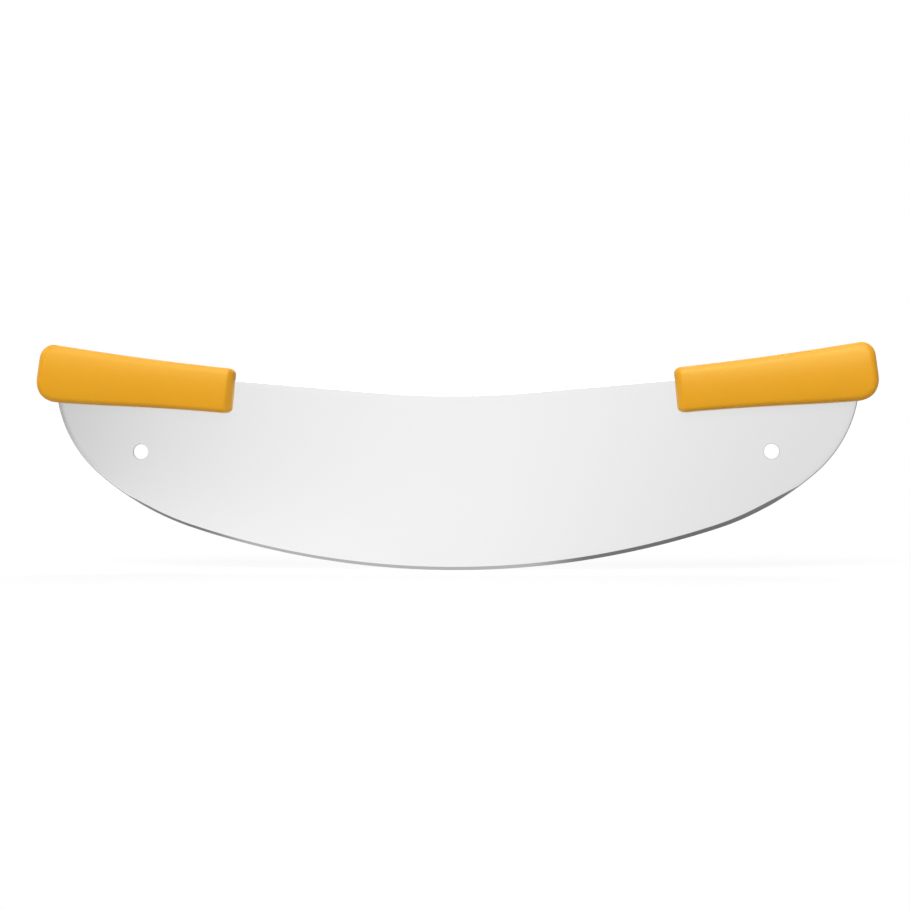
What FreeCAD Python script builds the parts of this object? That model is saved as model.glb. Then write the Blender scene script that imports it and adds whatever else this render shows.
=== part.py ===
import FreeCAD, Part
import math
import os
from FreeCAD import Vector

# Rocking pizza knife: one stamped half-moon blade with a handle moulded round the tang at each end.
# X runs along the knife, Y through the blade, Z up. The origin is the lowest point of the cutting edge.
# Lengths are in millimetres and angles in degrees.

# Blade plate
blade_length = 497.2
blade_thickness = 1.5
spine_height = 108.0
spine_dip_radius = 585.0
spine_flank_angle = 4.9
rocking_radius = 520.0
rocking_chord = 325.0
tang_depth = 8.5
tang_corner_radius = 6.0
tang_flat_least = 0.5

# Ground edge
bevel_width = 2.2
edge_land = 0.1
grind_overrun = 26.5
grind_margin = 0.5

# Holes in the plate
hanging_hole_diameter = 9.5
hanging_hole_inset = 53.6
hanging_hole_drop = 49.4
lock_hole_diameter = 8.0
lock_hole_count = 3
lock_hole_drop = 10.0

# Handles
handle_length = 122.9
handle_thickness = 20.0
handle_tilt = 7.85
inner_height = 27.7
outer_height = 36.4
inner_lean = 1.2
end_cover = 10.3
top_cover = 12.8
top_hollow = 1.0
finger_hollow = 0.4
inner_corner_radius = 4.6
outer_top_radius = 9.0
outer_bottom_radius = 14.3
edge_round = 4.2

# Where the hollow for the fingers ends and the palm swell starts, as a share of the handle's length
palm_station = 0.6

thickness_axis = Vector(0, 1, 0)
length_axis = Vector(1, 0, 0)
height_axis = Vector(0, 0, 1)
origin = Vector(0, 0, 0)

# Derived places on the right-hand half of the blade
flank = math.radians(spine_flank_angle)
square_up = math.pi / 2
tang_end = blade_length / 2
dip_end = spine_dip_radius * math.sin(flank)
dip_rise = spine_dip_radius * (1 - math.cos(flank))
rocking_half = rocking_chord / 2


def spine_at(x):
    # height of the straight spine flank
    return spine_height + dip_rise + (x - dip_end) * math.tan(flank)


def on_arc(arc, heading):
    # point of an arc (centre, radius) where the outline runs in the given direction
    centre, radius = arc
    return centre + Vector(math.sin(heading), 0, -math.cos(heading)) * radius


def arc_edge(arc, start, end):
    middle = (start + end) / 2
    return Part.Arc(on_arc(arc, start), on_arc(arc, middle), on_arc(arc, end)).toShape()


def line_edge(start, end):
    return Part.LineSegment(start, end).toShape()


def tangent_arc(start, ahead, end):
    # arc that leaves start in the direction ahead and reaches end
    across = end - start
    normal = Vector(-ahead.z, 0, ahead.x)
    radius = across.dot(across) / (2 * across.dot(normal))
    centre = start + normal * radius
    outward = ((start + end) / 2 - centre).normalize()
    return Part.Arc(start, centre + outward * abs(radius), end).toShape()


def shoulder_arcs(start, heading, end):
    # two tangent arcs with equal tangent lengths, from the rocking arc to the upright tang end
    ahead = Vector(math.cos(heading), 0, math.sin(heading))
    across = end - start
    both = ahead + height_axis
    spread = 2 * (1 - ahead.dot(height_axis))
    along = across.dot(both)
    tangent = (math.sqrt(along ** 2 + spread * across.dot(across)) - along) / spread
    chord = (end - height_axis * tangent) - (start + ahead * tangent)
    joint_heading = math.atan2(chord.z, chord.x)
    shoulder_radius = tangent / math.tan((joint_heading - heading) / 2)
    end_radius = tangent / math.tan((square_up - joint_heading) / 2)
    inward = Vector(-math.sin(heading), 0, math.cos(heading))
    shoulder = (start + inward * shoulder_radius, shoulder_radius)
    closing = (end - length_axis * end_radius, end_radius)
    return shoulder, closing, joint_heading


rocking_arc = (height_axis * rocking_radius, rocking_radius)
rocking_heading = math.asin(rocking_half / rocking_radius)
tang_foot = Vector(tang_end, 0, spine_at(tang_end) - tang_depth)
shoulder_arc, closing_arc, joint_heading = shoulder_arcs(
    on_arc(rocking_arc, rocking_heading), rocking_heading, tang_foot)
dip_arc = (height_axis * (spine_height + spine_dip_radius), -spine_dip_radius)
spine_heading = math.pi + flank


def turned_round(shape):
    # the other end of the knife is the same shape turned half round about the upright axis
    copy = shape.copy()
    copy.rotate(origin, height_axis, 180)
    return copy


def blade_plate():
    # the corner leaves at least a short upright stretch at the end of the tang
    widest_corner = (tang_depth - tang_flat_least) * math.tan((square_up - flank) / 2)
    corner_radius = min(tang_corner_radius, widest_corner)
    corner_x = tang_end - corner_radius
    corner_z = spine_at(corner_x) - corner_radius / math.cos(flank)
    corner_arc = (Vector(corner_x, 0, corner_z), corner_radius)
    # from the lowest point of the edge round to the middle of the spine
    right_half = [
        arc_edge(rocking_arc, 0, rocking_heading),
        arc_edge(shoulder_arc, rocking_heading, joint_heading),
        arc_edge(closing_arc, joint_heading, square_up),
        line_edge(tang_foot, on_arc(corner_arc, square_up)),
        arc_edge(corner_arc, square_up, spine_heading),
        line_edge(on_arc(corner_arc, spine_heading), on_arc(dip_arc, spine_heading)),
        arc_edge(dip_arc, spine_heading, math.pi),
    ]
    left_half = [turned_round(edge) for edge in right_half]
    outline = Part.Wire(Part.__sortEdges__(right_half + left_half))
    plate = Part.Face(outline).extrude(thickness_axis * blade_thickness)
    plate.translate(thickness_axis * (-blade_thickness / 2))
    return plate


def grind_section(arc, heading):
    # triangle of steel that one side of the grind takes off, square to the edge
    half = blade_thickness / 2
    slope = bevel_width / (half - edge_land / 2)
    outward = Vector(math.sin(heading), 0, -math.cos(heading))
    edge = on_arc(arc, heading)
    clear = half + grind_margin
    tip_depth = edge_land / 2 - grind_margin / slope
    corners = [
        edge - outward * (bevel_width + grind_margin * slope) + thickness_axis * clear,
        edge + outward * grind_margin + thickness_axis * clear,
        edge + outward * grind_margin + thickness_axis * tip_depth,
    ]
    return Part.Face(Part.makePolygon(corners + corners[:1]))


def ground_along(arc, start, end):
    section = grind_section(arc, start)
    return section.revolve(arc[0], -thickness_axis, math.degrees(end - start))


def edge_grind():
    # follows the rocking arc, runs on along the shoulder, then leaves the blade in a straight line
    centre, radius = shoulder_arc
    leave_x = rocking_half + grind_overrun
    leave_heading = math.asin((leave_x - centre.x) / radius)
    run_out = 2 * math.sqrt(2 * radius * bevel_width)
    ahead = Vector(math.cos(leave_heading), 0, math.sin(leave_heading))
    shoulder = ground_along(shoulder_arc, rocking_heading, leave_heading)
    straight = grind_section(shoulder_arc, leave_heading).extrude(ahead * run_out)
    rocking = ground_along(rocking_arc, -rocking_heading, rocking_heading)
    back = [rocking, shoulder, straight]
    back += [cut.mirror(origin, length_axis) for cut in (shoulder, straight)]
    front = [cut.mirror(origin, thickness_axis) for cut in back]
    return back + front


def hole(x, z, diameter):
    start = Vector(x, -blade_thickness, z)
    return Part.makeCylinder(diameter / 2, 2 * blade_thickness, start, thickness_axis)


def plate_holes():
    hanging_x = tang_end - hanging_hole_inset
    holes = [hole(hanging_x, spine_at(hanging_x) - hanging_hole_drop, hanging_hole_diameter)]
    pitch = handle_length * math.cos(math.radians(handle_tilt)) / (lock_hole_count + 1)
    outer_x = tang_end + end_cover
    for number in range(1, lock_hole_count + 1):
        x = outer_x - number * pitch
        holes.append(hole(x, spine_at(x) - lock_hole_drop, lock_hole_diameter))
    return holes + [turned_round(each) for each in holes]


def make_blade():
    return blade_plate().cut(edge_grind() + plate_holes())


def handle_place(along, up):
    # along and up are measured from the tang's upper corner, in the handle's own tilted directions
    tilt = math.radians(handle_tilt)
    corner = Vector(tang_end, 0, spine_at(tang_end))
    lengthwise = Vector(math.cos(tilt), 0, math.sin(tilt))
    upward = Vector(-math.sin(tilt), 0, math.cos(tilt))
    return corner + lengthwise * along + upward * up


# the foot of the inner end reaches further along the blade than its top does
inner_end = end_cover - handle_length
inner_top = handle_place(inner_end, top_cover)
outer_top = handle_place(end_cover, top_cover)
inner_bottom = handle_place(inner_end - inner_lean, top_cover - inner_height)
outer_bottom = handle_place(end_cover, top_cover - outer_height)


def underside_place(station, lift):
    drop = inner_height + (outer_height - inner_height) * station
    return handle_place(inner_end + handle_length * station, top_cover - drop + lift)


def handle_prism():
    top_middle = handle_place(end_cover - handle_length / 2, top_cover - top_hollow)
    palm_start = underside_place(palm_station, 0)
    fingers = Part.Arc(inner_bottom, underside_place(palm_station / 2, finger_hollow), palm_start).toShape()
    palm = tangent_arc(palm_start, fingers.tangentAt(fingers.LastParameter), outer_bottom)
    outline = Part.Wire([
        fingers,
        palm,
        line_edge(outer_bottom, outer_top),
        Part.Arc(outer_top, top_middle, inner_top).toShape(),
        line_edge(inner_top, inner_bottom),
    ])
    prism = Part.Face(outline).extrude(thickness_axis * handle_thickness)
    prism.translate(thickness_axis * (-handle_thickness / 2))
    corners = (
        (inner_top, inner_corner_radius),
        (inner_bottom, inner_corner_radius),
        (outer_top, outer_top_radius),
        (outer_bottom, outer_bottom_radius),
    )
    for corner, radius in corners:
        prism = prism.makeFillet(radius, [upright_edge(prism, corner)])
    return prism


def crosses_thickness(edge):
    return abs(edge.firstVertex().Point.y - edge.lastVertex().Point.y) > blade_thickness


def upright_edge(prism, corner):
    # the edge through a corner of the outline, across the handle's thickness
    crossing = [edge for edge in prism.Edges if crosses_thickness(edge)]
    return min(crossing, key=lambda edge: edge.CenterOfMass.distanceToPoint(corner))


def make_handle(blade):
    # the rims of the two flat faces are rounded, not the edges that cross the thickness
    blank = handle_prism()
    rims = [edge for edge in blank.Edges if not crosses_thickness(edge)]
    return blank.makeFillet(edge_round, rims).cut(blade)


os.makedirs("parts", exist_ok=True)
blade = make_blade()
right_handle = make_handle(blade)
nodes = {
    "blade": blade,
    "left_handle": turned_round(right_handle),
    "right_handle": right_handle,
}
for name, shape in nodes.items():
    solids = len(shape.Solids)
    print(name, "solids", solids, "valid", shape.isValid(), "volume", round(shape.Volume, 1))
    shape.exportStep("parts/" + name + ".step")
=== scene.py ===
import math
import bpy
import bmesh
from mathutils import Euler, Matrix, Vector


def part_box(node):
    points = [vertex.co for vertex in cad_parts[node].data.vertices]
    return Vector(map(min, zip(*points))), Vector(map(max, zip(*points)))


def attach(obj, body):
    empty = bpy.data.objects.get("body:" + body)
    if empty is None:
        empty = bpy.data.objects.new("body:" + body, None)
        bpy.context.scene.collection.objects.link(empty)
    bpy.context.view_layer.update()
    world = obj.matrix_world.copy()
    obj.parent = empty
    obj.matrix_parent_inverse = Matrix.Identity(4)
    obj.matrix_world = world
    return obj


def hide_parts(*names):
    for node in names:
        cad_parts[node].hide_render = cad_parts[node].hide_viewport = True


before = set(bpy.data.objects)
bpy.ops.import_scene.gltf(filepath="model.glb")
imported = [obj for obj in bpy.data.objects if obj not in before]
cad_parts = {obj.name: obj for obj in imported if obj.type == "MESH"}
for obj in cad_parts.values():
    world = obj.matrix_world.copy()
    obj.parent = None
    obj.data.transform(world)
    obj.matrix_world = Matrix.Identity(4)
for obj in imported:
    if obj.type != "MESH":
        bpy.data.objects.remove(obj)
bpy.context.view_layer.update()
print("frame loaded:", ", ".join(sorted(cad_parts)))

mm = 0.001


# Camera: level with the blade and a little to the right, so the right end looks slightly larger

cameraSetup = {
    "distance": 1.8,
    "aim": (0.85 * mm, 0.0, 71 * mm),  # what sits at the centre of the picture
    "viewWidth": 561.2 * mm,  # width of the picture in the plane of the blade
    "yaw": 4.6,  # degrees to the right of square on
    "roll": 0.03,
    "sensor": 36.0,
    "clipEnd": 50.0,
}


def makeCamera(setup):
    data = bpy.data.cameras.new("camera")
    data.sensor_width = setup["sensor"]
    data.lens = setup["sensor"] * setup["distance"] / setup["viewWidth"]
    data.clip_end = setup["clipEnd"]
    camera = bpy.data.objects.new("camera", data)
    bpy.context.scene.collection.objects.link(camera)
    yaw = math.radians(setup["yaw"])
    camera.location = Vector(setup["aim"]) + Vector((math.sin(yaw), -math.cos(yaw), 0)) * setup["distance"]
    camera.rotation_euler = Euler((math.pi / 2, math.radians(setup["roll"]), yaw))
    bpy.context.scene.camera = camera


makeCamera(cameraSetup)
print("camera set")


# Modelling by hand: small helpers round the edit-mode operators

broadly = 0.9  # a face whose normal has this much of an axis looks along that axis
fineGap = 0.01 * mm  # closer than this counts as the same place


def clearPicks():
    if bpy.context.mode != "OBJECT":
        bpy.ops.object.mode_set(mode="OBJECT")
    bpy.ops.object.select_all(action="DESELECT")


def takeUp(piece):
    clearPicks()
    piece.select_set(True)
    bpy.context.view_layer.objects.active = piece


def newPiece(name):
    piece = bpy.context.active_object
    piece.name = name
    bpy.ops.object.transform_apply(location=True, rotation=True, scale=True)
    return piece


def openMesh(piece):
    takeUp(piece)
    bpy.ops.object.mode_set(mode="EDIT")
    bpy.ops.mesh.select_mode(type="VERT")
    bpy.ops.mesh.select_all(action="SELECT")


def closeMesh():
    bpy.ops.object.mode_set(mode="OBJECT")


def pick(kind, wanted):
    bpy.ops.mesh.select_mode(type=kind)
    bpy.ops.mesh.select_all(action="DESELECT")
    mesh = bpy.context.edit_object.data
    shape = bmesh.from_edit_mesh(mesh)
    shape.normal_update()
    parts = {"VERT": shape.verts, "EDGE": shape.edges, "FACE": shape.faces}[kind]
    for part in [each for each in parts if wanted(each)]:
        part.select_set(True)
    shape.select_flush_mode()
    bmesh.update_edit_mesh(mesh)


def pullBy(step):
    bpy.ops.transform.translate(value=step)


def cleanShell(gap=0.0005 * mm):
    bpy.ops.mesh.select_all(action="SELECT")
    bpy.ops.mesh.remove_doubles(threshold=gap)
    bpy.ops.mesh.normals_make_consistent(inside=False)


def applyModifier(piece, kind, **settings):
    takeUp(piece)
    modifier = piece.modifiers.new(kind.lower(), kind)
    for name, value in settings.items():
        setattr(modifier, name, value)
    bpy.ops.object.modifier_apply(modifier=modifier.name)


def carve(piece, cutter):
    applyModifier(piece, "BOOLEAN", operation="DIFFERENCE", solver="EXACT", object=cutter)
    bpy.data.objects.remove(cutter)


def joinPieces(pieces):
    takeUp(pieces[0])
    for piece in pieces:
        piece.select_set(True)
    bpy.ops.object.join()
    return pieces[0]


def drawFrom(name, place):
    # one lone vertex to draw an outline from
    clearPicks()
    bpy.ops.mesh.primitive_plane_add(size=mm, location=place)
    piece = newPiece(name)
    openMesh(piece)
    bpy.ops.mesh.merge(type="CENTER")
    return piece


# Blade: a stamped half-moon plate with a ground edge

bladeShape = {
    "thickness": 1.5 * mm,
    "spineHeight": 108 * mm,
    "dipRadius": 585 * mm,
    "flankAngle": math.radians(4.9),
    "rockingRadius": 520 * mm,
    "rockingChord": 325 * mm,
    "tangDepth": 8.5 * mm,
    "tangCorner": 6 * mm,
    "bevelWidth": 2.2 * mm,
    "edgeLand": 0.1 * mm,
    "grindOverrun": 26.5 * mm,
    "grindDrift": Vector((-1.3, 0, -0.15)) * mm,  # ground by hand: the front bevel is narrower at the left
    "beltDepth": 3 * mm,
    "holeDiameter": 9.5 * mm,
    "holeInset": 53.6 * mm,
    "holeDrop": 49.4 * mm,
    "lockDiameter": 8 * mm,
    "lockCount": 3,
    "lockDrop": 10 * mm,
    "holeSides": 96,
    "holeEasing": 0.15 * mm,
    "punchProud": 0.01 * mm,  # the punch's flare ends just outside the plate, clear of its faces
    "easing": 0.6 * mm,  # stamped rims are tumbled, not sharp
    "easingSteps": 6,
    "rollDepth": 0.05 * mm,  # polishing rolls the faces off towards the rim
    "rollWidth": 3 * mm,
    "rollSteps": 4,
    "arcStep": 1.5 * mm,
    "outlineGap": 0.05 * mm,  # ends of the drawn outline closer than this are joined
    "smoothAngle": math.radians(16),
    "flatFacing": 0.9999,  # faces that look this squarely along Y are shaded flat
}


def onArc(centre, radius, heading):
    return centre + Vector((math.sin(heading), 0, -math.cos(heading))) * radius


def ahead(heading):
    return Vector((math.cos(heading), 0, math.sin(heading)))


def bladePlan(shape):
    # the right half of the outline as tangent arcs: (centre, radius, first heading, last heading)
    upright = math.pi / 2
    flank = shape["flankAngle"]
    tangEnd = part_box("blade")[1].x
    dipEnd = shape["dipRadius"] * math.sin(flank)
    dipRise = shape["dipRadius"] * (1 - math.cos(flank))

    def spineAt(x):
        return shape["spineHeight"] + dipRise + (x - dipEnd) * math.tan(flank)

    rockingHeading = math.asin(shape["rockingChord"] / 2 / shape["rockingRadius"])
    rockingCentre = Vector((0, 0, shape["rockingRadius"]))
    start = onArc(rockingCentre, shape["rockingRadius"], rockingHeading)
    end = Vector((tangEnd, 0, spineAt(tangEnd) - shape["tangDepth"]))
    up = Vector((0, 0, 1))
    leaving = ahead(rockingHeading)
    across = end - start
    spread = 2 * (1 - leaving.dot(up))
    along = across.dot(leaving + up)
    tangent = (math.sqrt(along ** 2 + spread * across.length_squared) - along) / spread
    chord = end - up * tangent - start - leaving * tangent
    jointHeading = math.atan2(chord.z, chord.x)
    shoulderRadius = tangent / math.tan((jointHeading - rockingHeading) / 2)
    closingRadius = tangent / math.tan((upright - jointHeading) / 2)
    inward = Vector((-math.sin(rockingHeading), 0, math.cos(rockingHeading)))
    cornerX = tangEnd - shape["tangCorner"]
    cornerCentre = Vector((cornerX, 0, spineAt(cornerX) - shape["tangCorner"] / math.cos(flank)))
    spineHeading = math.pi + flank
    return {
        "rocking": (rockingCentre, shape["rockingRadius"], -rockingHeading, rockingHeading),
        "shoulder": (start + inward * shoulderRadius, shoulderRadius, rockingHeading, jointHeading),
        "closing": (end - Vector((closingRadius, 0, 0)), closingRadius, jointHeading, upright),
        "corner": (cornerCentre, shape["tangCorner"], upright, spineHeading),
        "dip": (
            Vector((0, 0, shape["spineHeight"] + shape["dipRadius"])), -shape["dipRadius"],
            spineHeading, math.pi - flank,
        ),
        "tangEnd": tangEnd,
        "spineAt": spineAt,
    }


def mirrored(arc):
    centre, radius, first, last = arc
    return Vector((-centre.x, 0, centre.z)), radius, -last, -first


def drawArc(arc, step):
    # carries the picked end of a line, or a picked section, round an arc
    centre, radius, first, last = arc
    turn = last - first
    steps = max(3, math.ceil(abs(turn * radius) / step))
    bpy.ops.mesh.spin(steps=steps, angle=turn, center=centre + Vector((0, drawDepth(), 0)), axis=(0, 1, 0))


def drawDepth():
    shape = bmesh.from_edit_mesh(bpy.context.edit_object.data)
    picked = [vert.co.y for vert in shape.verts if vert.select]
    return sum(picked) / len(picked)


def drawLine(start, end):
    bpy.ops.mesh.extrude_vertices_move(TRANSFORM_OT_translate={"value": end - start})


def stampPlate(shape, plan):
    thin = shape["thickness"] - 2 * shape["rollDepth"]
    rightEnd = [plan["shoulder"], plan["closing"], plan["corner"]]
    leftEnd = [mirrored(arc) for arc in reversed(rightEnd)]
    rocking = plan["rocking"]
    plate = drawFrom("bladePlate", onArc(*rocking[:3]) - Vector((0, thin / 2, 0)))
    reached = onArc(*rocking[:3])
    for arc in [rocking, *rightEnd, plan["dip"], *leftEnd]:
        start = onArc(*arc[:3])
        if (start - reached).length > mm:
            drawLine(reached, start)
        drawArc(arc, shape["arcStep"])
        reached = onArc(arc[0], arc[1], arc[3])
    cleanShell(shape["outlineGap"])
    bpy.ops.mesh.edge_face_add()
    bpy.ops.mesh.extrude_region_move(TRANSFORM_OT_translate={"value": (0, thin, 0)})
    cleanShell()
    pick("FACE", lambda face: abs(face.normal.y) > broadly)
    steps = shape["rollSteps"]
    # each ring rises less than the one outside it, so the roll-off is a parabola
    for step in range(steps, 0, -1):
        rise = shape["rollDepth"] * (2 * step - 1) / steps ** 2
        bpy.ops.mesh.inset(thickness=shape["rollWidth"] / steps, depth=rise, use_individual=True)
    cleanShell()
    pick("EDGE", lambda edge: abs(abs(edge.verts[0].co.y + edge.verts[1].co.y) - thin) < fineGap)
    bpy.ops.mesh.bevel(
        offset=shape["easing"], segments=shape["easingSteps"], affect="EDGES", clamp_overlap=False)
    cleanShell()
    closeMesh()
    return plate


def grindBelt(shape, plan, side):
    # the stock that one side of the grind takes away, swept along the edge and straight off at both ends
    centre, radius, first, last = plan["shoulder"]
    leaveX = shape["rockingChord"] / 2 + shape["grindOverrun"]
    leave = math.asin((leaveX - centre.x) / radius)
    shoulder = (centre, radius, first, leave)
    runOut = 2 * math.sqrt(2 * radius * shape["bevelWidth"])
    rise = (shape["thickness"] - shape["edgeLand"]) / 2
    slope = math.atan2(rise, shape["bevelWidth"])
    heading = -leave
    outward = Vector((math.sin(heading), 0, -math.cos(heading)))
    thick = Vector((0, side, 0))
    face = outward * math.cos(slope) - thick * math.sin(slope)
    away = outward * math.sin(slope) + thick * math.cos(slope)
    edge = onArc(mirrored(shoulder)[0], radius, heading)
    middle = edge - outward * shape["bevelWidth"] / 2 + thick * (shape["edgeLand"] + rise) / 2
    place = middle + away * shape["beltDepth"] / 2 - ahead(heading) * runOut
    turn = Matrix((face, away, face.cross(away))).transposed().to_euler()
    length = 2 * math.hypot(shape["bevelWidth"], rise)
    clearPicks()
    bpy.ops.mesh.primitive_plane_add(size=1, location=place, rotation=turn)
    bpy.context.active_object.scale = (length, shape["beltDepth"], 1)
    belt = newPiece("grindBelt")
    openMesh(belt)
    bpy.ops.mesh.delete(type="ONLY_FACE")
    bpy.ops.mesh.select_all(action="SELECT")
    bpy.ops.mesh.extrude_region_move(TRANSFORM_OT_translate={"value": ahead(heading) * runOut})
    for arc in (mirrored(shoulder), plan["rocking"], shoulder):
        drawArc(arc, shape["arcStep"])
    bpy.ops.mesh.extrude_region_move(TRANSFORM_OT_translate={"value": ahead(leave) * runOut})
    bpy.ops.mesh.select_all(action="SELECT")
    bpy.ops.mesh.fill_holes(sides=4)
    cleanShell()
    if side < 0:
        pullBy(shape["grindDrift"])
    closeMesh()
    return belt


def holePlaces(shape, plan, grip):
    # the hanging hole in the open, then the holes in the tang that the moulding locks into
    x = plan["tangEnd"] - shape["holeInset"]
    places = [(x, plan["spineAt"](x) - shape["holeDrop"], shape["holeDiameter"])]
    pitch = grip["length"] * math.cos(grip["tilt"]) / (shape["lockCount"] + 1)
    for number in range(1, shape["lockCount"] + 1):
        x = plan["tangEnd"] + grip["endCover"] - number * pitch
        places.append((x, plan["spineAt"](x) - shape["lockDrop"], shape["lockDiameter"]))
    return places


def holePunch(shape, x, z, diameter):
    # a round punch that flares at both faces, so the rims of the hole come out eased
    ease = shape["holeEasing"]
    steps = shape["easingSteps"]
    radius = diameter / 2
    barrel = shape["thickness"] + 2 * (shape["punchProud"] - ease)
    clearPicks()
    bpy.ops.mesh.primitive_cylinder_add(
        vertices=shape["holeSides"], radius=radius, depth=barrel,
        location=(x, 0, z), rotation=(math.pi / 2, 0, 0))
    punch = newPiece("holePunch")
    openMesh(punch)
    for side in (-1, 1):
        pick("FACE", lambda face: face.normal.y * side > broadly)
        width, depth = radius, 0.0
        for step in range(1, steps + 1):
            turn = math.pi / 2 * step / steps
            wider, deeper = radius + ease * (1 - math.cos(turn)), ease * math.sin(turn)
            bpy.ops.mesh.extrude_region_move(
                TRANSFORM_OT_translate={"value": (0, side * (deeper - depth), 0)})
            bpy.ops.transform.resize(value=(wider / width, 1, wider / width), center_override=(x, 0, z))
            width, depth = wider, deeper
        bpy.ops.mesh.extrude_region_move(TRANSFORM_OT_translate={"value": (0, side * ease, 0)})
    cleanShell()
    closeMesh()
    return punch


def makeBlade(shape, grip):
    plan = bladePlan(shape)
    plate = stampPlate(shape, plan)
    punches = [
        holePunch(shape, side * x, z, diameter)
        for x, z, diameter in holePlaces(shape, plan, grip) for side in (-1, 1)]
    carve(plate, joinPieces(punches))
    for side in (-1, 1):
        carve(plate, grindBelt(shape, plan, side))
    takeUp(plate)
    bpy.ops.object.shade_smooth_by_angle(angle=shape["smoothAngle"])
    openMesh(plate)
    pick("FACE", lambda face: abs(face.normal.y) > shape["flatFacing"])
    bpy.ops.mesh.faces_shade_flat()
    closeMesh()
    return plate


# Handles: one moulding at each end, closed round the tang

handleShape = {
    "length": 122.7 * mm,
    "thickness": 19.99 * mm,
    "tilt": math.radians(7.85),
    "innerHeight": 27.7 * mm,
    "outerHeight": 36.4 * mm,
    "innerLean": 1.2 * mm,  # the foot of the inner end reaches further along the blade than its top
    "endCover": 10.1 * mm,
    "topCover": 12.7 * mm,
    "topHollow": 1 * mm,
    "fingerHollow": 0.4 * mm,
    "palmStation": 0.6,
    "innerCorner": 4.6 * mm,
    "outerTop": 9 * mm,
    "outerBottom": 14.3 * mm,
    "edgeRound": 4.4 * mm,
    "crown": 2.6 * mm,  # the broad faces swell this much from rim to middle
    "topRoll": 1.6 * mm,  # and fall away further towards the top
    "sag": 1.2 * mm,  # the faces sit low: soft rounding along the top, tight along the bottom
    "innerCrown": 1.8 * mm,  # the ends swell too
    "outerCrown": 1.0 * mm,
    "cornerSteps": 14,
    "roundSteps": 10,
    "stations": 31,
    "rows": 11,
    "slices": 9,
    "cagePoints": (25, 5, 13),
    "cageTall": 1.5,  # two rows of the lattice stand clear of the block above and below
    "leanFade": 8,
    "smoothAngle": math.radians(40),
}


def roundCorner(x, z, radius, steps):
    pick("EDGE", lambda edge: all(
        abs(vert.co.x - x) < fineGap and abs(vert.co.z - z) < fineGap for vert in edge.verts))
    bpy.ops.mesh.bevel(offset=radius, segments=steps, affect="EDGES", clamp_overlap=False)


def sliceAt(place, facing):
    bpy.ops.mesh.select_all(action="SELECT")
    bpy.ops.mesh.bisect(plane_co=place, plane_no=facing)


def undersideLift(shape, share):
    # hollow for the fingers, then a tangent swell under the palm, as a lift from the straight taper
    palm = shape["palmStation"]
    reach = palm * shape["length"]
    hollow = shape["fingerHollow"]
    if share <= palm:
        return hollow * (1 - (2 * share / palm - 1) ** 2)
    slope = 4 * hollow / reach
    rest = (1 - palm) * shape["length"]
    run = (share - palm) * shape["length"]
    return -slope * run * (1 - run / rest)


def bendBlock(block, shape):
    # a lattice round the straight block tapers it, hollows it lengthwise and crowns its faces and ends
    inner = shape["endCover"] - shape["length"]
    deep = shape["outerHeight"]
    clearPicks()
    middle = (inner + shape["length"] / 2, 0, shape["topCover"] - deep / 2)
    bpy.ops.object.add(type="LATTICE", location=middle)
    cage = bpy.context.active_object
    tallCage = shape["cageTall"]
    cage.scale = (shape["length"], shape["thickness"], deep * tallCage)
    for axis, count in zip("uvw", shape["cagePoints"]):
        setattr(cage.data, "points_" + axis, count)
        setattr(cage.data, "interpolation_type_" + axis, "KEY_CATMULL_ROM")
    for point in cage.data.points:
        share = point.co.x + 0.5
        down = 0.5 - point.co.z * tallCage
        tall = shape["innerHeight"] / deep * (1 - share) + share
        broad = (2 * point.co.y) ** 2
        rim = 2 * down - 1
        drop = down * tall * deep + shape["topHollow"] * (1 - (2 * share - 1) ** 2) * (1 - down)
        drop += shape["sag"] * tall * (1 - rim ** 4) * broad - undersideLift(shape, share) * down
        swell = (shape["crown"] * rim ** 2 + shape["topRoll"] * max(-rim, 0) ** 3) * tall ** 2
        dome = shape["innerCrown"] * (share < 0.01) - shape["outerCrown"] * (share > 0.99)
        lean = shape["innerLean"] * down * (1 - share) ** shape["leanFade"]
        point.co_deform = (
            point.co.x + (dome * broad - lean) / shape["length"],
            point.co.y * (1 - 2 * swell / shape["thickness"]),
            (0.5 - drop / deep) / tallCage)
    applyModifier(block, "LATTICE", object=cage)
    bpy.data.objects.remove(cage)


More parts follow.
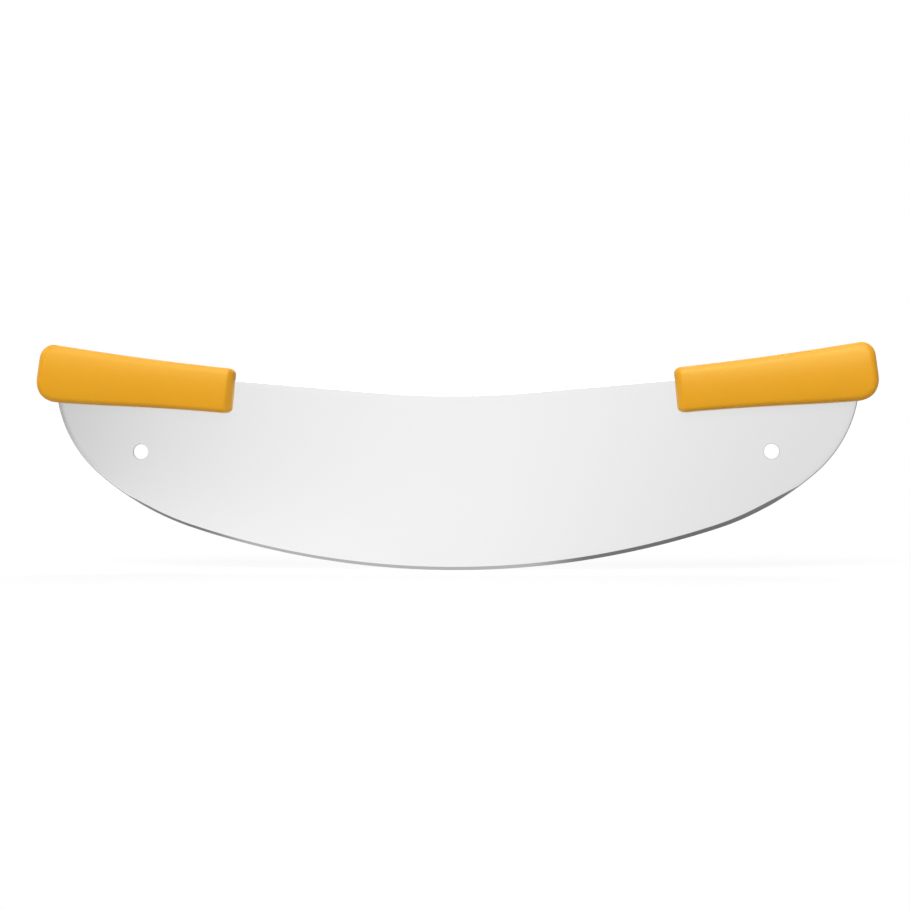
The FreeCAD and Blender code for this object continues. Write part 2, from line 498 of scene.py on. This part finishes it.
def makeHandle(shape, name):
    half = shape["thickness"] / 2
    inner = shape["endCover"] - shape["length"]
    outer = shape["endCover"]
    top = shape["topCover"]
    low = top - shape["outerHeight"]
    clearPicks()
    bpy.ops.mesh.primitive_cube_add(
        size=1, location=((inner + outer) / 2, 0, (top + low) / 2),
        scale=(shape["length"], shape["thickness"], shape["outerHeight"]))
    block = newPiece(name)
    openMesh(block)
    for x, z, radius in (
        (inner, top, shape["innerCorner"]),
        (inner, low, shape["innerCorner"]),
        (outer, top, shape["outerTop"]),
        (outer, low, shape["outerBottom"]),
    ):
        roundCorner(x, z, radius, shape["cornerSteps"])
    pick("EDGE", lambda edge: abs(edge.verts[0].co.y + edge.verts[1].co.y) > half)
    bpy.ops.mesh.bevel(
        offset=shape["edgeRound"], segments=shape["roundSteps"], affect="EDGES", clamp_overlap=False)
    for station in range(1, shape["stations"]):
        sliceAt((inner + shape["length"] * station / shape["stations"], 0, 0), (1, 0, 0))
    for row in range(1, shape["rows"]):
        sliceAt((0, 0, top + (low - top) * row / shape["rows"]), (0, 0, 1))
    flat = shape["thickness"] - 2 * shape["edgeRound"]
    for number in range(1, shape["slices"] + 1):
        sliceAt((0, flat * (number / (shape["slices"] + 1) - 0.5), 0), (0, 1, 0))
    cleanShell()
    closeMesh()
    bendBlock(block, shape)
    openMesh(block)
    bpy.ops.transform.rotate(value=shape["tilt"], orient_axis="Y", center_override=(0, 0, 0))
    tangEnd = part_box("blade")[1].x
    pullBy((tangEnd, 0, bladePlan(bladeShape)["spineAt"](tangEnd)))
    cleanShell()
    closeMesh()
    bpy.ops.object.shade_smooth_by_angle(angle=shape["smoothAngle"])
    return block


def turnRound(piece, name):
    takeUp(piece)
    bpy.ops.object.duplicate(linked=False)
    other = bpy.context.active_object
    other.name = name
    openMesh(other)
    bpy.ops.transform.rotate(value=math.pi, orient_axis="Z", center_override=(0, 0, 0))
    closeMesh()
    return other


blade = makeBlade(bladeShape, handleShape)
print("blade:", len(blade.data.polygons), "faces")
rightHandle = makeHandle(handleShape, "rightHandleMoulding")
carve(rightHandle, bpy.data.objects.new("tangSlot", blade.data.copy()))
leftHandle = turnRound(rightHandle, "leftHandleMoulding")
print("handles:", len(rightHandle.data.polygons), "faces each")


# Node maths: a Flow wraps one socket, so that shader sums read as sums

class Flow:
    def __init__(self, tree, socket=None):
        self.tree = tree
        self.socket = socket

    def node(self, kind, settings=None, sockets=None, out=0):
        made = self.tree.nodes.new(kind)
        for name, value in (settings or {}).items():
            if name == "stops":
                ramp = made.color_ramp
                while len(ramp.elements) < len(value):
                    ramp.elements.new(1.0)
                for stop, (place, colour) in zip(ramp.elements, value):
                    stop.position = place
                    stop.color = colour
            else:
                setattr(made, name, value)
        for name, value in (sockets or {}).items():
            if isinstance(value, Flow):
                self.tree.links.new(value.socket, made.inputs[name])
            else:
                made.inputs[name].default_value = value
        return Flow(self.tree, made.outputs[out] if made.outputs else None)

    def sum(self, operation, first, second):
        return self.node("ShaderNodeMath", {"operation": operation}, {0: first, 1: second})

    def __add__(self, other):
        return self.sum("ADD", self, other)

    def __sub__(self, other):
        return self.sum("SUBTRACT", self, other)

    def __rsub__(self, other):
        return self.sum("SUBTRACT", other, self)

    def __mul__(self, other):
        return self.sum("MULTIPLY", self, other)


def newFinish(name):
    material = bpy.data.materials.new(name)
    material.use_nodes = True
    material.node_tree.nodes.clear()
    return material, Flow(material.node_tree)


def objectPlace(flow):
    return flow.node("ShaderNodeTexCoord", out="Object")


def stretched(flow, place, scale):
    return flow.node("ShaderNodeMapping", sockets={"Vector": place, "Scale": scale})


def noise(flow, place, scale, detail=2.0, rough=0.5):
    return flow.node("ShaderNodeTexNoise", {"noise_dimensions": "3D"}, {
        "Vector": place, "Scale": scale, "Detail": detail, "Roughness": rough}, out=0)


def tint(flow, share, first, second):
    return flow.node("ShaderNodeMix", {"data_type": "RGBA"}, {0: share, 6: first, 7: second}, out=2)


def finishSurface(flow, shader):
    flow.node("ShaderNodeOutputMaterial", sockets={"Surface": shader})


# Steel: fine brushing along the blade, a coarser grind on the bevel and tumbled rims; the darker grey of
# bevel and rims is painted shade

steelLook = {
    "base": 0.955,
    "contrast": 0.014,
    "grainLength": 40 * mm,
    "grainWidth": 0.7 * mm,
    "grainStrength": 0.014,
    "grainDepth": 0.05 * mm,
    "cloudScale": 30.0,
    "cloudShare": 0.3,
    "rough": 0.2,
    "roughSpread": 0.06,
}


def greys(flow, share, look):
    deep = look["base"] - look["contrast"]
    pale = look["base"] + look["contrast"]
    return tint(flow, share, (deep, deep, deep, 1), (pale, pale, pale, 1))


def spreadRound(share, look):
    return share * look["roughSpread"] + (look["rough"] - look["roughSpread"] / 2)


def brushedSteel(look):
    material, flow = newFinish("brushedSteel")
    place = objectPlace(flow)
    across = 1 / look["grainWidth"]
    grain = noise(flow, stretched(flow, place, (1 / look["grainLength"], across, across)), 1.0, 3.0, 0.6)
    cloud = noise(flow, place, look["cloudScale"], 3.0)
    mottle = grain * (1 - look["cloudShare"]) + cloud * look["cloudShare"]
    bump = flow.node("ShaderNodeBump", sockets={
        "Height": grain, "Strength": look["grainStrength"], "Distance": look["grainDepth"]})
    finishSurface(flow, flow.node("ShaderNodeBsdfPrincipled", sockets={
        "Base Color": greys(flow, mottle, look), "Metallic": 1.0,
        "Roughness": spreadRound(grain, look), "Normal": bump}))
    return material


# the bevel is ground coarser and rougher; its darker grey is painted shade for the dark surroundings it
# mirrors
bevelPaintedShadeLook = {
    "name": "groundBevelPaintedShade",
    "base": 0.47,
    "contrast": 0.06,
    "lineWidth": 0.5 * mm,
    "lineLength": 8 * mm,
    "rough": 0.36,
    "roughSpread": 0.1,
    "match": 0.005,  # how close a face lies to the slope of the grind
}
rimPaintedShadeLook = {  # stamped rims are rougher than the polished faces, and their dark grey is painted shade
    "name": "stampedRimPaintedShade",
    "base": 0.3,
    "contrast": 0.06,
    "lineWidth": 0.8 * mm,
    "lineLength": 8 * mm,
    "rough": 0.42,
    "roughSpread": 0.1,
    "facing": 0.975,  # faces that look less squarely along Y than this belong to a rim
}


def groundSteel(look):
    material, flow = newFinish(look["name"])
    place = objectPlace(flow)
    along = 1 / look["lineLength"]
    lines = noise(flow, stretched(flow, place, (1 / look["lineWidth"], along, along)), 1.0, 2.0)
    finishSurface(flow, flow.node("ShaderNodeBsdfPrincipled", sockets={
        "Base Color": greys(flow, lines, look), "Metallic": 1.0, "Roughness": spreadRound(lines, look)}))
    return material


def dressBlade(plate):
    plate.data.materials.clear()
    for finish in (brushedSteel(steelLook), groundSteel(bevelPaintedShadeLook), groundSteel(rimPaintedShadeLook)):
        plate.data.materials.append(finish)
    rise = (bladeShape["thickness"] - bladeShape["edgeLand"]) / 2
    slope = math.cos(math.atan2(rise, bladeShape["bevelWidth"]))
    openMesh(plate)
    for slot, wanted in (
        (2, lambda face: abs(face.normal.y) < rimPaintedShadeLook["facing"]),
        (1, lambda face: abs(abs(face.normal.y) - slope) < bevelPaintedShadeLook["match"]),
    ):
        pick("FACE", wanted)
        plate.active_material_index = slot
        bpy.ops.object.material_slot_assign()
    closeMesh()


# Plastic: one warm yellow, softly glossy, with a very fine moulded texture

plasticLook = {
    "colour": (0.872, 0.407, 0.0125, 1),
    "deeper": (0.848, 0.390, 0.0095, 1),
    "cloudScale": 45.0,
    "poreScale": 1800.0,
    "poreStrength": 0.05,
    "poreDepth": 0.05 * mm,
    "rough": 0.5,
    "roughSpread": 0.06,
    "shine": 0.5,
    "shineTint": (0.85, 1.0, 0.5, 1),
    "bleed": 0.3,  # light creeps a little way through the plastic, the red furthest
    "bleedReach": (1.0, 0.35, 0.08),
    "bleedScale": 3 * mm,
}


def yellowMoulding(look):
    material, flow = newFinish("yellowMoulding")
    place = objectPlace(flow)
    cloud = noise(flow, place, look["cloudScale"], 3.0)
    pores = noise(flow, place, look["poreScale"], 2.0)
    colour = tint(flow, cloud, look["deeper"], look["colour"])
    spread = look["roughSpread"]
    bump = flow.node("ShaderNodeBump", sockets={
        "Height": pores, "Strength": look["poreStrength"], "Distance": look["poreDepth"]})
    finishSurface(flow, flow.node("ShaderNodeBsdfPrincipled", sockets={
        "Base Color": colour, "Roughness": cloud * spread + pores * spread + (look["rough"] - spread),
        "Specular IOR Level": look["shine"], "Specular Tint": look["shineTint"],
        "Subsurface Weight": look["bleed"], "Subsurface Radius": look["bleedReach"],
        "Subsurface Scale": look["bleedScale"], "Normal": bump}))
    return material


dressBlade(blade)
plastic = yellowMoulding(plasticLook)
for handle in (leftHandle, rightHandle):
    handle.data.materials.clear()
    handle.data.materials.append(plastic)
print("finishes on")


# Stage: pale floor, white surroundings and soft lamps

stageSetup = {
    "floorSize": 12.0,
    "floorPale": 0.2,
    "floorSeen": 0.81,  # white that only the camera sees on the floor
    "floorBounce": 0.2,
    "ambient": 0.425,
    "ambientFalls": ((-0.6, 0.9, 0.85),),  # less light comes from the right
    "mirror": 1.01,  # how bright the surroundings look in the gloss
    # dark card at the left: its two soft edges, how dim
    "domeCard": ((-0.215, -0.237), (-0.55, -0.4), 0.0),
    "domeFalls": ((-0.19, 0.42, 0.35),),  # in the gloss: from, to, how dim
    "skyGlow": ((0.5, 0.8, 4.2),),  # and brighter overhead
    # the floor as the steel sees it is a painted reflection: a painted dark card at the left, a painted
    # pool of light dimming to both sides
    "floorPaintedDarkCard": ((-0.38, -0.72), (-1.4, -0.95), 0.25),
    "floorPaintedFalls": ((-0.16, 0.36, 0.66),),
    "underEdge": 0.03,  # depth of the strip of painted shade on the floor that the bevel mirrors, wider as the edge rises
    "underSoft": 0.3,
    "underCurve": 1.4,
    "underReach": (0.075, 0.058),  # square of the half length of that strip, fading between the two
    # painted shade in that strip, as from, to, how dim: darker towards both ends, darkest at the right
    "underEdgePaintedShade": ((-0.138, -0.165, 0.33), (0.045, 0.085, 0.31), (0.085, 0.16, 0.68)),
}


def smoothly(flow, value, start, end):
    return flow.node("ShaderNodeMapRange", {"interpolation_type": "SMOOTHSTEP"}, {
        "Value": value, "From Min": start, "From Max": end})


def falling(flow, value, falls, level):
    for near, far, low in falls:
        level = (1 - smoothly(flow, value, near, far) * (1 - low)) * level
    return level


def behindCard(flow, value, card, level):
    near, far, low = card
    inside = smoothly(flow, value, *near) * smoothly(flow, value, *far)
    return (1 - inside * (1 - low)) * level


def makeFloor(setup):
    clearPicks()
    bpy.ops.mesh.primitive_plane_add(size=setup["floorSize"])
    floor = newPiece("floor")
    material, flow = newFinish("paleFloor")
    seen = flow.node("ShaderNodeLightPath", out="Is Camera Ray")
    glossy = flow.node("ShaderNodeLightPath", out="Is Glossy Ray")
    pale = setup["floorPale"]
    diffuse = flow.node("ShaderNodeBsdfDiffuse", sockets={"Color": (pale, pale, pale, 1)})
    glow = flow.node("ShaderNodeEmission", sockets={
        "Strength": seen * (setup["floorSeen"] - setup["floorBounce"]) + setup["floorBounce"]})
    lit = flow.node("ShaderNodeAddShader", sockets={0: diffuse, 1: glow})
    place = objectPlace(flow)
    sideways = flow.node("ShaderNodeSeparateXYZ", sockets={"Vector": place}, out="X")
    forward = flow.node("ShaderNodeSeparateXYZ", sockets={"Vector": place}, out="Y")
    spread = sideways * sideways
    edge = setup["underEdge"]
    close = smoothly(flow, forward + spread * setup["underCurve"], -edge, -edge * setup["underSoft"])
    behind = flow.node("ShaderNodeMath", {"operation": "GREATER_THAN"}, {0: forward, 1: 0.0})
    close = close * smoothly(flow, spread, *setup["underReach"]) * (1 - behind)
    far = behindCard(flow, sideways, setup["floorPaintedDarkCard"], setup["mirror"])
    far = falling(flow, sideways, setup["floorPaintedFalls"], far)
    near = falling(flow, sideways, setup["underEdgePaintedShade"], setup["mirror"])
    # glossy rays see a painted reflection instead of the lit floor: the card and falls far out, the
    # painted shade strip close under the edge
    paintedReflection = flow.node("ShaderNodeEmission", sockets={"Strength": far * (1 - close) + near * close})
    finishSurface(flow, flow.node("ShaderNodeMixShader", sockets={0: glossy, 1: lit, 2: paintedReflection}))
    floor.data.materials.append(material)


def makeSurroundings(setup):
    world = bpy.data.worlds.new("surroundings")
    bpy.context.scene.world = world
    world.use_nodes = True
    world.node_tree.nodes.clear()
    flow = Flow(world.node_tree)
    seen = flow.node("ShaderNodeLightPath", out="Is Camera Ray")
    glossy = flow.node("ShaderNodeLightPath", out="Is Glossy Ray")
    through = flow.node("ShaderNodeLightPath", out="Is Transmission Ray")
    towards = flow.node("ShaderNodeTexCoord", out="Generated")
    sideways = flow.node("ShaderNodeSeparateXYZ", sockets={"Vector": towards}, out="X")
    upward = flow.node("ShaderNodeSeparateXYZ", sockets={"Vector": towards}, out="Z")
    dome = behindCard(flow, sideways, setup["domeCard"], setup["mirror"])
    dome = falling(flow, sideways, setup["domeFalls"], dome)
    dome = falling(flow, upward, setup["skyGlow"], dome)
    other = 1 - seen - glossy - through
    around = falling(flow, sideways, setup["ambientFalls"], setup["ambient"])
    strength = seen + (glossy + through) * dome + other * around
    background = flow.node("ShaderNodeBackground", sockets={"Color": (1, 1, 1, 1), "Strength": strength})
    flow.node("ShaderNodeOutputWorld", sockets={"Surface": background})


lampSetup = {
    "key": {"from": (-0.22, -1.4, 0.76), "spread": 35, "strength": 1.93},
    "back": {"from": (0.15, 1.3, 0.9), "spread": 40, "strength": 1.6},
}
panelSetup = {"place": (0.08, -0.9, 1.25), "aimHeight": 0.1, "size": (0.56, 1.5), "power": 30}


def makeLamp(name, setup):
    data = bpy.data.lights.new(name, "SUN")
    data.energy = setup["strength"]
    data.angle = math.radians(setup["spread"])  # as wide as a big softbox
    lamp = bpy.data.objects.new(name, data)
    bpy.context.scene.collection.objects.link(lamp)
    lamp.location = setup["from"]
    lamp.rotation_euler = Vector(setup["from"]).to_track_quat("Z", "Y").to_euler()
    lamp.visible_glossy = False


def makeGlossPanel(setup):
    # a softbox above the camera that only shines in the gloss
    data = bpy.data.lights.new("glossPanel", "AREA")
    data.shape = "RECTANGLE"
    data.size, data.size_y = setup["size"]
    data.energy = setup["power"]
    lamp = bpy.data.objects.new("glossPanel", data)
    bpy.context.scene.collection.objects.link(lamp)
    lamp.location = setup["place"]
    aim = Vector((lamp.location.x, 0, setup["aimHeight"])) - lamp.location
    lamp.rotation_euler = aim.to_track_quat("-Z", "Y").to_euler()
    lamp.visible_diffuse = False
    lamp.visible_camera = False


makeFloor(stageSetup)
makeSurroundings(stageSetup)
makeGlossPanel(panelSetup)
for lampName, lamp in lampSetup.items():
    makeLamp(lampName, lamp)
bpy.context.scene.view_settings.view_transform = "Standard"
print("stage lit")

for piece, node, slot in (
    (blade, "blade", "blade_steel"),
    (leftHandle, "left_handle", "handle_plastic"),
    (rightHandle, "right_handle", "handle_plastic"),
):
    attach(piece, "root")
    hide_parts(node)
